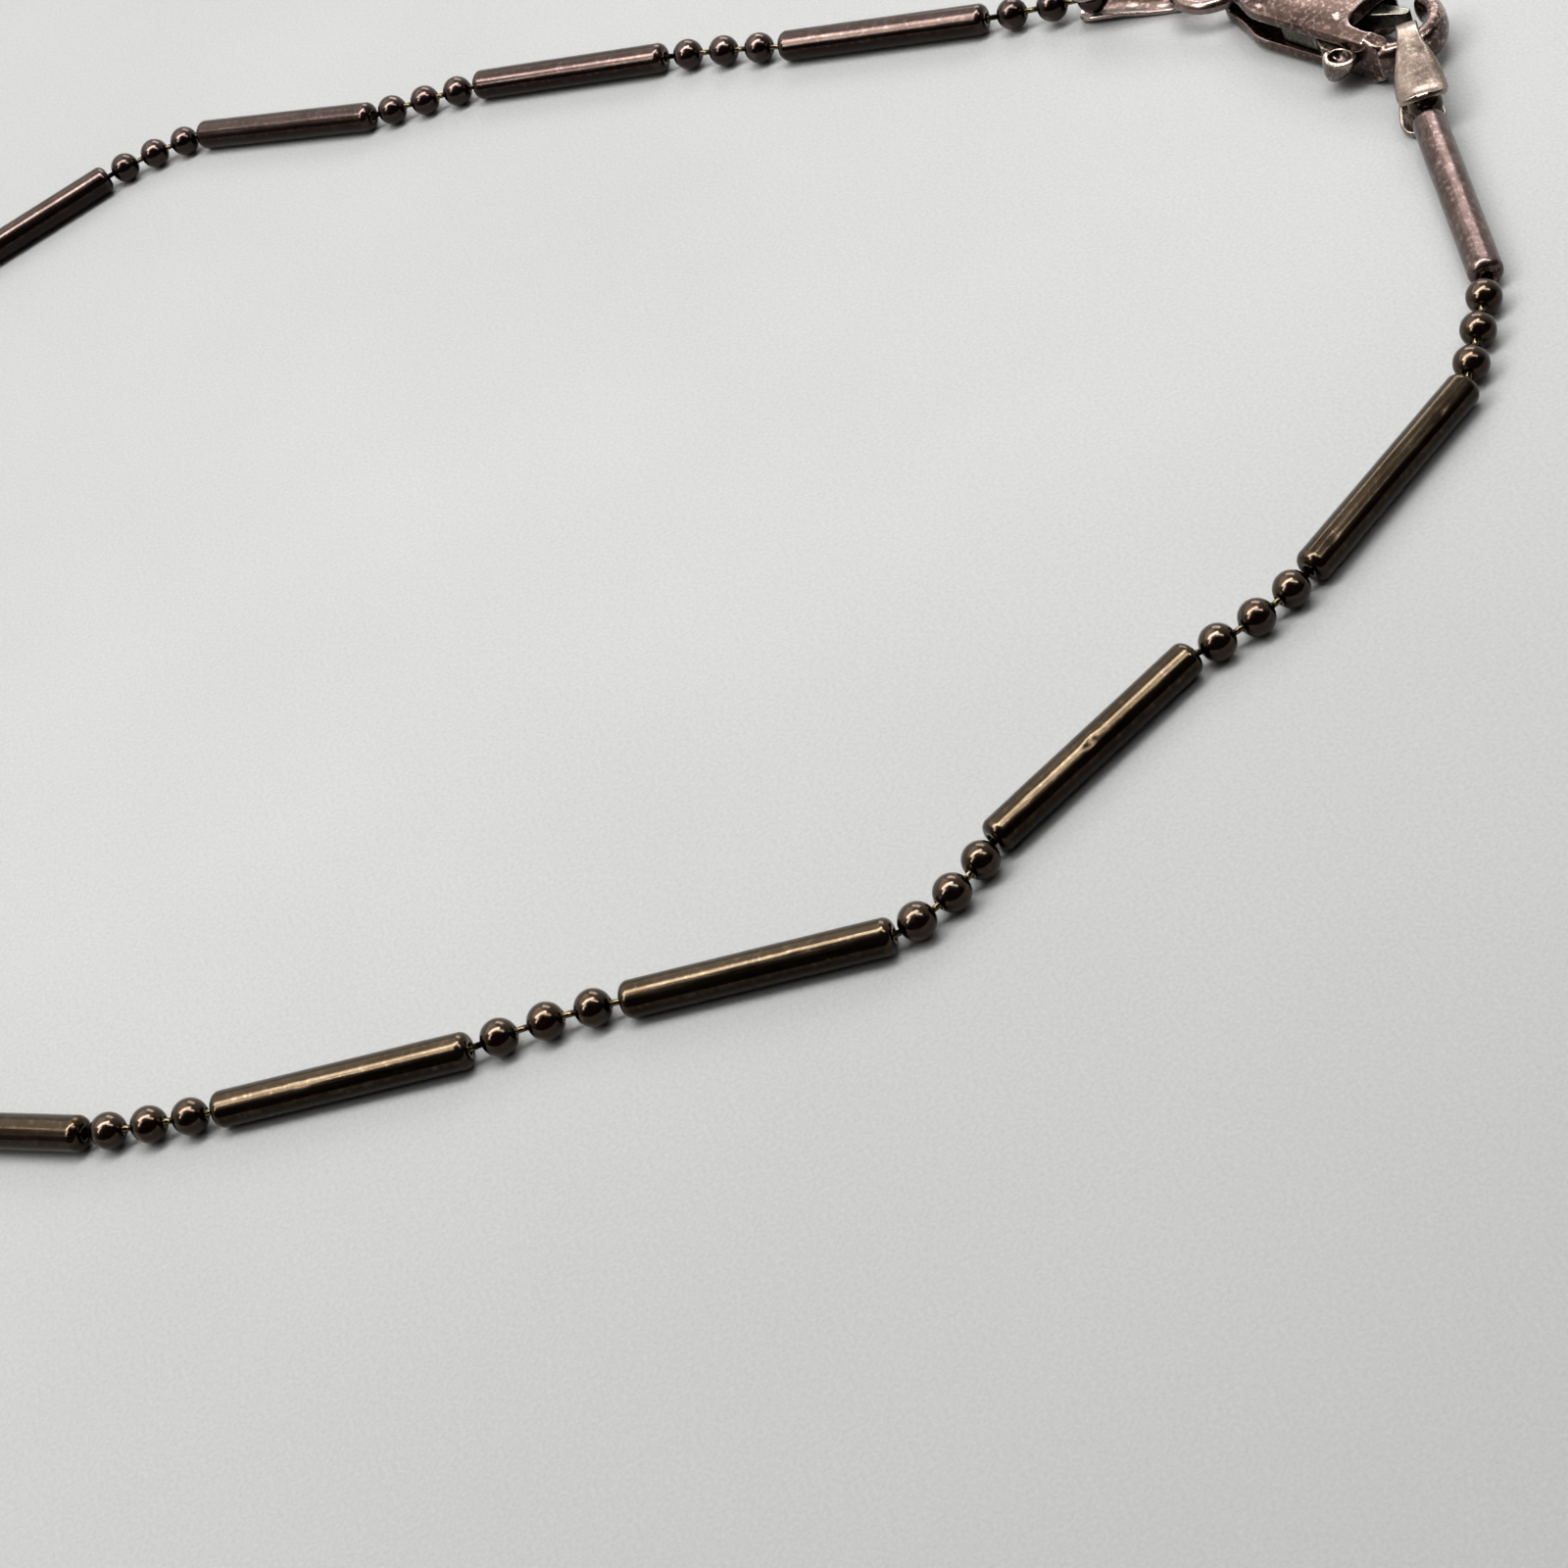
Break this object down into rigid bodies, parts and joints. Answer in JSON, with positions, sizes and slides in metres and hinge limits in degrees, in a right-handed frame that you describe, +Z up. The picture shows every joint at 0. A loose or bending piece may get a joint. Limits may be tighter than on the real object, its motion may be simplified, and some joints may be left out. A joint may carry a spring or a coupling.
{
  "type": "chain necklace",
  "caption": "Slim necklace of hollow bars joined by runs of small round beads, with folded end tags, a jump ring and a lobster clasp, closed and laid in a loop.",
  "frame": {"origin": "centre of the laid loop's bounding box, on the surface the necklace lies on", "axes": "+X along the loop's long way towards the clasp, +Y across it, +Z up from the surface"},
  "size_m": [0.1677, 0.0924, 0.0025],
  "materials": {
    "ring_side_chain": "polished dark silver with fine scratches",
    "hook_side_chain": "polished dark silver with fine scratches",
    "clasp_metal": "worn plating, softly mottled",
    "lever_metal": "darkened plating",
    "pin_metal": "bright pin and spring metal"
  },
  "bodies": {
    "clasp": {"clasp_body": "clasp_metal", "lever_pin": "pin_metal", "lever_spring": "pin_metal"},
    "lever": {"clasp_lever": "lever_metal"},
    "jump_ring": {"jump_ring": "clasp_metal"},
    "ring_side_tag": {"ring_side_tag": "clasp_metal"},
    "bead_run_01": {"bead_run_01": "ring_side_chain"},
    "bar_01": {"bar_01": "ring_side_chain"},
    "bead_run_02": {"bead_run_02": "ring_side_chain"},
    "bar_02": {"bar_02": "ring_side_chain"},
    "bead_run_03": {"bead_run_03": "ring_side_chain"},
    "bar_03": {"bar_03": "ring_side_chain"},
    "bead_run_04": {"bead_run_04": "ring_side_chain"},
    "bar_04": {"bar_04": "ring_side_chain"},
    "bead_run_05": {"bead_run_05": "ring_side_chain"},
    "bar_05": {"bar_05": "ring_side_chain"},
    "bead_run_06": {"bead_run_06": "ring_side_chain"},
    "bar_06": {"bar_06": "ring_side_chain"},
    "bead_run_07": {"bead_run_07": "ring_side_chain"},
    "bar_07": {"bar_07": "ring_side_chain"},
    "bead_run_08": {"bead_run_08": "ring_side_chain"},
    "bar_08": {"bar_08": "ring_side_chain"},
    "bead_run_09": {"bead_run_09": "ring_side_chain"},
    "bar_09": {"bar_09": "ring_side_chain"},
    "bead_run_10": {"bead_run_10": "ring_side_chain"},
    "bar_10": {"bar_10": "ring_side_chain"},
    "bead_run_11": {"bead_run_11": "ring_side_chain"},
    "bar_11": {"bar_11": "ring_side_chain"},
    "bead_run_12": {"bead_run_12": "ring_side_chain"},
    "hook_side_tag": {"hook_side_tag": "clasp_metal"},
    "end_bead": {"end_bead": "hook_side_chain"},
    "bar_12": {"bar_12": "hook_side_chain"},
    "bead_run_13": {"bead_run_13": "hook_side_chain"},
    "bar_13": {"bar_13": "hook_side_chain"},
    "bead_run_14": {"bead_run_14": "hook_side_chain"},
    "bar_14": {"bar_14": "hook_side_chain"},
    "bead_run_15": {"bead_run_15": "hook_side_chain"},
    "bar_15": {"bar_15": "hook_side_chain"},
    "bead_run_16": {"bead_run_16": "hook_side_chain"},
    "bar_16": {"bar_16": "hook_side_chain"},
    "bead_run_17": {"bead_run_17": "hook_side_chain"},
    "bar_17": {"bar_17": "hook_side_chain"},
    "bead_run_18": {"bead_run_18": "hook_side_chain"},
    "bar_18": {"bar_18": "hook_side_chain"},
    "bead_run_19": {"bead_run_19": "hook_side_chain"},
    "bar_19": {"bar_19": "hook_side_chain"},
    "bead_run_20": {"bead_run_20": "hook_side_chain"},
    "bar_20": {"bar_20": "hook_side_chain"},
    "bead_run_21": {"bead_run_21": "hook_side_chain"},
    "bar_21": {"bar_21": "hook_side_chain"},
    "bead_run_22": {"bead_run_22": "hook_side_chain"},
    "bar_22": {"bar_22": "hook_side_chain"},
    "bead_run_23": {"bead_run_23": "hook_side_chain"},
    "bar_23": {"bar_23": "hook_side_chain"}
  },
  "joints": [
    {"name": "lever_pivot", "type": "hinge", "parent": "clasp", "child": "lever", "pos_m": [0.07988, -0.00865, 0.00125], "axis": [0, 0, -1], "range_deg": [0, 25], "stiffness_Nm_per_rad": 0.002, "springref_deg": -11.46, "deforming": ["lever_spring"]},
    {"name": "ring_on_tail", "type": "hinge", "parent": "clasp", "child": "jump_ring", "pos_m": [0.07758, -0.00376, 0.00125], "axis": [0.9205, 0.3907, 0], "range_deg": [-15, 15]},
    {"name": "tag_on_ring", "type": "hinge", "parent": "jump_ring", "child": "ring_side_tag", "pos_m": [0.07542, -0.00089, 0.00125], "axis": [-0.6293, -0.7771, 0], "range_deg": [-25, 25]},
    {"name": "bead_in_ring_side_tag", "type": "hinge", "parent": "ring_side_tag", "child": "bead_run_01", "pos_m": [0.07217, 0.00174, 0.00108], "axis": [-0.6293, -0.7771, 0], "range_deg": [-16, 16]},
    {"name": "bead_run_01_to_bar_01", "type": "hinge", "parent": "bead_run_01", "child": "bar_01", "pos_m": [0.06771, 0.00489, 0.00075], "axis": [-0.4121, -0.5746, 0.7071], "range_deg": [-30, 30]},
    {"name": "bar_01_to_bead_run_02", "type": "hinge", "parent": "bar_01", "child": "bead_run_02", "pos_m": [0.05908, 0.01116, 0.00075], "axis": [-0.4498, -0.5456, -0.7071], "range_deg": [-30, 30]},
    {"name": "bead_run_02_to_bar_02", "type": "hinge", "parent": "bead_run_02", "child": "bar_02", "pos_m": [0.05401, 0.01542, 0.00075], "axis": [0.4156, 0.5721, -0.7071], "range_deg": [-30, 30]},
    {"name": "bar_02_to_bead_run_03", "type": "hinge", "parent": "bar_02", "child": "bead_run_03", "pos_m": [0.04527, 0.02154, 0.00075], "axis": [0.3482, 0.6154, 0.7071], "range_deg": [-30, 26]},
    {"name": "bead_run_03_to_bar_03", "type": "hinge", "parent": "bead_run_03", "child": "bar_03", "pos_m": [0.03977, 0.02382, 0.00075], "axis": [-0.3482, -0.6154, 0.7071], "range_deg": [-20, 30]},
    {"name": "bar_03_to_bead_run_04", "type": "hinge", "parent": "bar_03", "child": "bead_run_04", "pos_m": [0.03136, 0.03039, 0.00075], "axis": [-0.3374, -0.6214, -0.7071], "range_deg": [-18, 30]},
    {"name": "bead_run_04_to_bar_04", "type": "hinge", "parent": "bead_run_04", "child": "bar_04", "pos_m": [0.02584, 0.03121, 0.00075], "axis": [-0.0616, 0.7044, -0.7071], "range_deg": [-30, 30]},
    {"name": "bar_04_to_bead_run_05", "type": "hinge", "parent": "bar_04", "child": "bead_run_05", "pos_m": [0.01527, 0.02973, 0.00075], "axis": [-0.0678, 0.7039, 0.7071], "range_deg": [-30, 30]},
    {"name": "bead_run_05_to_bar_05", "type": "hinge", "parent": "bead_run_05", "child": "bar_05", "pos_m": [0.00932, 0.02973, 0.00075], "axis": [-0.0678, -0.7039, 0.7071], "range_deg": [-30, 30]},
    {"name": "bar_05_to_bead_run_06", "type": "hinge", "parent": "bar_05", "child": "bead_run_06", "pos_m": [-0.00124, 0.03121, 0.00075], "axis": [-0.1228, -0.6964, -0.7071], "range_deg": [-30, 30]},
    {"name": "bead_run_06_to_bar_06", "type": "hinge", "parent": "bead_run_06", "child": "bar_06", "pos_m": [-0.00702, 0.03265, 0.00075], "axis": [0.2185, 0.6725, -0.7071], "range_deg": [-30, 30]},
    {"name": "bar_06_to_bead_run_07", "type": "hinge", "parent": "bar_06", "child": "bead_run_07", "pos_m": [-0.01704, 0.0363, 0.00075], "axis": [0.342, 0.9397, 0], "range_deg": [-30, 30]},
    {"name": "bead_run_07_to_bar_07", "type": "hinge", "parent": "bead_run_07", "child": "bar_07", "pos_m": [-0.02263, 0.03834, 0.00075], "axis": [-0.342, -0.9397, 0], "range_deg": [-30, 30]},
    {"name": "bar_07_to_bead_run_08", "type": "hinge", "parent": "bar_07", "child": "bead_run_08", "pos_m": [-0.03266, 0.04199, 0.00075], "axis": [-0.3173, -0.9483, 0], "range_deg": [-30, 30]},
    {"name": "bead_run_08_to_bar_08", "type": "hinge", "parent": "bead_run_08", "child": "bar_08", "pos_m": [-0.03841, 0.04353, 0.00075], "axis": [0.1994, 0.9799, 0], "range_deg": [-30, 30]},
    {"name": "bar_08_to_bead_run_09", "type": "hinge", "parent": "bar_08", "child": "bead_run_09", "pos_m": [-0.04891, 0.04538, 0.00075], "axis": [0.1132, 0.9936, 0], "range_deg": [-30, 30]},
    {"name": "bead_run_09_to_bar_09", "type": "hinge", "parent": "bead_run_09", "child": "bar_09", "pos_m": [-0.05486, 0.04528, 0.00075], "axis": [0.1478, -0.989, 0], "range_deg": [-30, 30]},
    {"name": "bar_09_to_bead_run_10", "type": "hinge", "parent": "bar_09", "child": "bead_run_10", "pos_m": [-0.06529, 0.04306, 0.00075], "axis": [0.284, -0.9588, 0], "range_deg": [-30, 30]},
    {"name": "bead_run_10_to_bar_10", "type": "hinge", "parent": "bead_run_10", "child": "bar_10", "pos_m": [-0.07055, 0.04032, 0.00075], "axis": [-0.6225, 0.7826, 0], "range_deg": [-30, 30]},
    {"name": "bar_10_to_bead_run_11", "type": "hinge", "parent": "bar_10", "child": "bead_run_11", "pos_m": [-0.07836, 0.03304, 0.00075], "axis": [-0.5296, 0.4685, 0.7071], "range_deg": [-30, 26]},
    {"name": "bead_run_11_to_bar_11", "type": "hinge", "parent": "bead_run_11", "child": "bar_11", "pos_m": [-0.08123, 0.02786, 0.00075], "axis": [0.6762, -0.2067, 0.7071], "range_deg": [-30, 28]},
    {"name": "bar_11_to_bead_run_12", "type": "hinge", "parent": "bar_11", "child": "bead_run_12", "pos_m": [-0.08345, 0.01742, 0.00075], "axis": [0.7018, -0.0862, -0.7071], "range_deg": [-28, 30]},
    {"name": "tag_on_hook", "type": "hinge", "parent": "clasp", "child": "hook_side_tag", "pos_m": [0.08108, -0.01395, 0.00125], "axis": [0.9432, -0.3322, 0], "range_deg": [-20, 20]},
    {"name": "bead_in_hook_side_tag", "type": "hinge", "parent": "hook_side_tag", "child": "end_bead", "pos_m": [0.07989, -0.01732, 0.00108], "axis": [0.9432, -0.3322, 0], "range_deg": [-16, 16]},
    {"name": "end_bead_to_bar_12", "type": "hinge", "parent": "end_bead", "child": "bar_12", "pos_m": [0.07948, -0.0184, 0.00105], "axis": [-0.6725, 0.2185, -0.7071], "range_deg": [-30, 30]},
    {"name": "bar_12_to_bead_run_13", "type": "hinge", "parent": "bar_12", "child": "bead_run_13", "pos_m": [0.07671, -0.02871, 0.00075], "axis": [-0.6434, 0.2933, 0.7071], "range_deg": [-20, 30]},
    {"name": "bead_run_13_to_bar_13", "type": "hinge", "parent": "bead_run_13", "child": "bar_13", "pos_m": [0.07303, -0.03387, 0.00075], "axis": [0.4592, -0.5377, 0.7071], "range_deg": [-12, 30]},
    {"name": "bar_13_to_bead_run_14", "type": "hinge", "parent": "bar_13", "child": "bead_run_14", "pos_m": [0.06361, -0.03888, 0.00075], "axis": [0.31, -0.6355, -0.7071], "range_deg": [-30, 30]},
    {"name": "bead_run_14_to_bar_14", "type": "hinge", "parent": "bead_run_14", "child": "bar_14", "pos_m": [0.05802, -0.03992, 0.00075], "axis": [-0.1045, 0.6993, -0.7071], "range_deg": [-14, 30]},
    {"name": "bar_14_to_bead_run_15", "type": "hinge", "parent": "bar_14", "child": "bead_run_15", "pos_m": [0.048, -0.04357, 0.00075], "axis": [-0.3482, 0.6154, 0.7071], "range_deg": [-30, 14]},
    {"name": "bead_run_15_to_bar_15", "type": "hinge", "parent": "bead_run_15", "child": "bar_15", "pos_m": [0.04304, -0.04547, 0.00075], "axis": [-0.1045, -0.6993, 0.7071], "range_deg": [-10, 30]},
    {"name": "bar_15_to_bead_run_16", "type": "hinge", "parent": "bar_15", "child": "bead_run_16", "pos_m": [0.03301, -0.04182, 0.00075], "axis": [-0.2476, -0.6623, -0.7071], "range_deg": [-30, 30]},
    {"name": "bead_run_16_to_bar_16", "type": "hinge", "parent": "bead_run_16", "child": "bar_16", "pos_m": [0.02693, -0.04019, 0.00075], "axis": [0.177, 0.6846, -0.7071], "range_deg": [-30, 26]},
    {"name": "bar_16_to_bead_run_17", "type": "hinge", "parent": "bar_16", "child": "bead_run_17", "pos_m": [0.0169, -0.03654, 0.00075], "axis": [0.2476, 0.6623, 0.7071], "range_deg": [-30, 30]},
    {"name": "bead_run_17_to_bar_17", "type": "hinge", "parent": "bead_run_17", "child": "bar_17", "pos_m": [0.0116, -0.03413, 0.00075], "axis": [-0.3799, -0.5964, 0.7071], "range_deg": [-28, 30]},
    {"name": "bar_17_to_bead_run_18", "type": "hinge", "parent": "bar_17", "child": "bead_run_18", "pos_m": [0.00308, -0.02771, 0.00075], "axis": [-0.3954, -0.5862, -0.7071], "range_deg": [-30, 30]},
    {"name": "bead_run_18_to_bar_18", "type": "hinge", "parent": "bead_run_18", "child": "bar_18", "pos_m": [-0.00219, -0.02496, 0.00075], "axis": [0.2534, 0.6601, -0.7071], "range_deg": [-30, 30]},
    {"name": "bar_18_to_bead_run_19", "type": "hinge", "parent": "bar_18", "child": "bead_run_19", "pos_m": [-0.01234, -0.02166, 0.00075], "axis": [0.2008, 0.678, 0.7071], "range_deg": [-30, 30]},
    {"name": "bead_run_19_to_bar_19", "type": "hinge", "parent": "bead_run_19", "child": "bar_19", "pos_m": [-0.01813, -0.02032, 0.00075], "axis": [-0.1167, -0.6974, 0.7071], "range_deg": [-30, 30]},
    {"name": "bar_19_to_bead_run_20", "type": "hinge", "parent": "bar_19", "child": "bead_run_20", "pos_m": [-0.0287, -0.01884, 0.00075], "axis": [-0.0984, -0.7002, -0.7071], "range_deg": [-30, 30]},
    {"name": "bead_run_20_to_bar_20", "type": "hinge", "parent": "bead_run_20", "child": "bar_20", "pos_m": [-0.03459, -0.01801, 0.00075], "axis": [0.0984, 0.7002, -0.7071], "range_deg": [-30, 30]},
    {"name": "bar_20_to_bead_run_21", "type": "hinge", "parent": "bar_20", "child": "bead_run_21", "pos_m": [-0.04516, -0.01653, 0.00075], "axis": [0.1106, 0.6984, 0.7071], "range_deg": [-30, 30]},
    {"name": "bead_run_21_to_bar_21", "type": "hinge", "parent": "bead_run_21", "child": "bar_21", "pos_m": [-0.05098, -0.01529, 0.00075], "axis": [-0.183, -0.683, 0.7071], "range_deg": [-30, 30]},
    {"name": "bar_21_to_bead_run_22", "type": "hinge", "parent": "bar_21", "child": "bead_run_22", "pos_m": [-0.06123, -0.01235, 0.00075], "axis": [-0.2302, -0.6686, -0.7071], "range_deg": [-30, 30]},
    {"name": "bead_run_22_to_bar_22", "type": "hinge", "parent": "bead_run_22", "child": "bar_22", "pos_m": [-0.06655, -0.0097, 0.00075], "axis": [0.3954, 0.5862, -0.7071], "range_deg": [-30, 30]},
    {"name": "bar_22_to_bead_run_23", "type": "hinge", "parent": "bar_22", "child": "bead_run_23", "pos_m": [-0.07507, -0.00328, 0.00075], "axis": [0.4685, 0.5296, 0.7071], "range_deg": [-28, 30]},
    {"name": "bead_run_23_to_bar_23", "type": "hinge", "parent": "bead_run_23", "child": "bar_23", "pos_m": [-0.07873, 0.0014, 0.00075], "axis": [-0.6272, -0.3265, 0.7071], "range_deg": [-28, 30]}
  ]
}
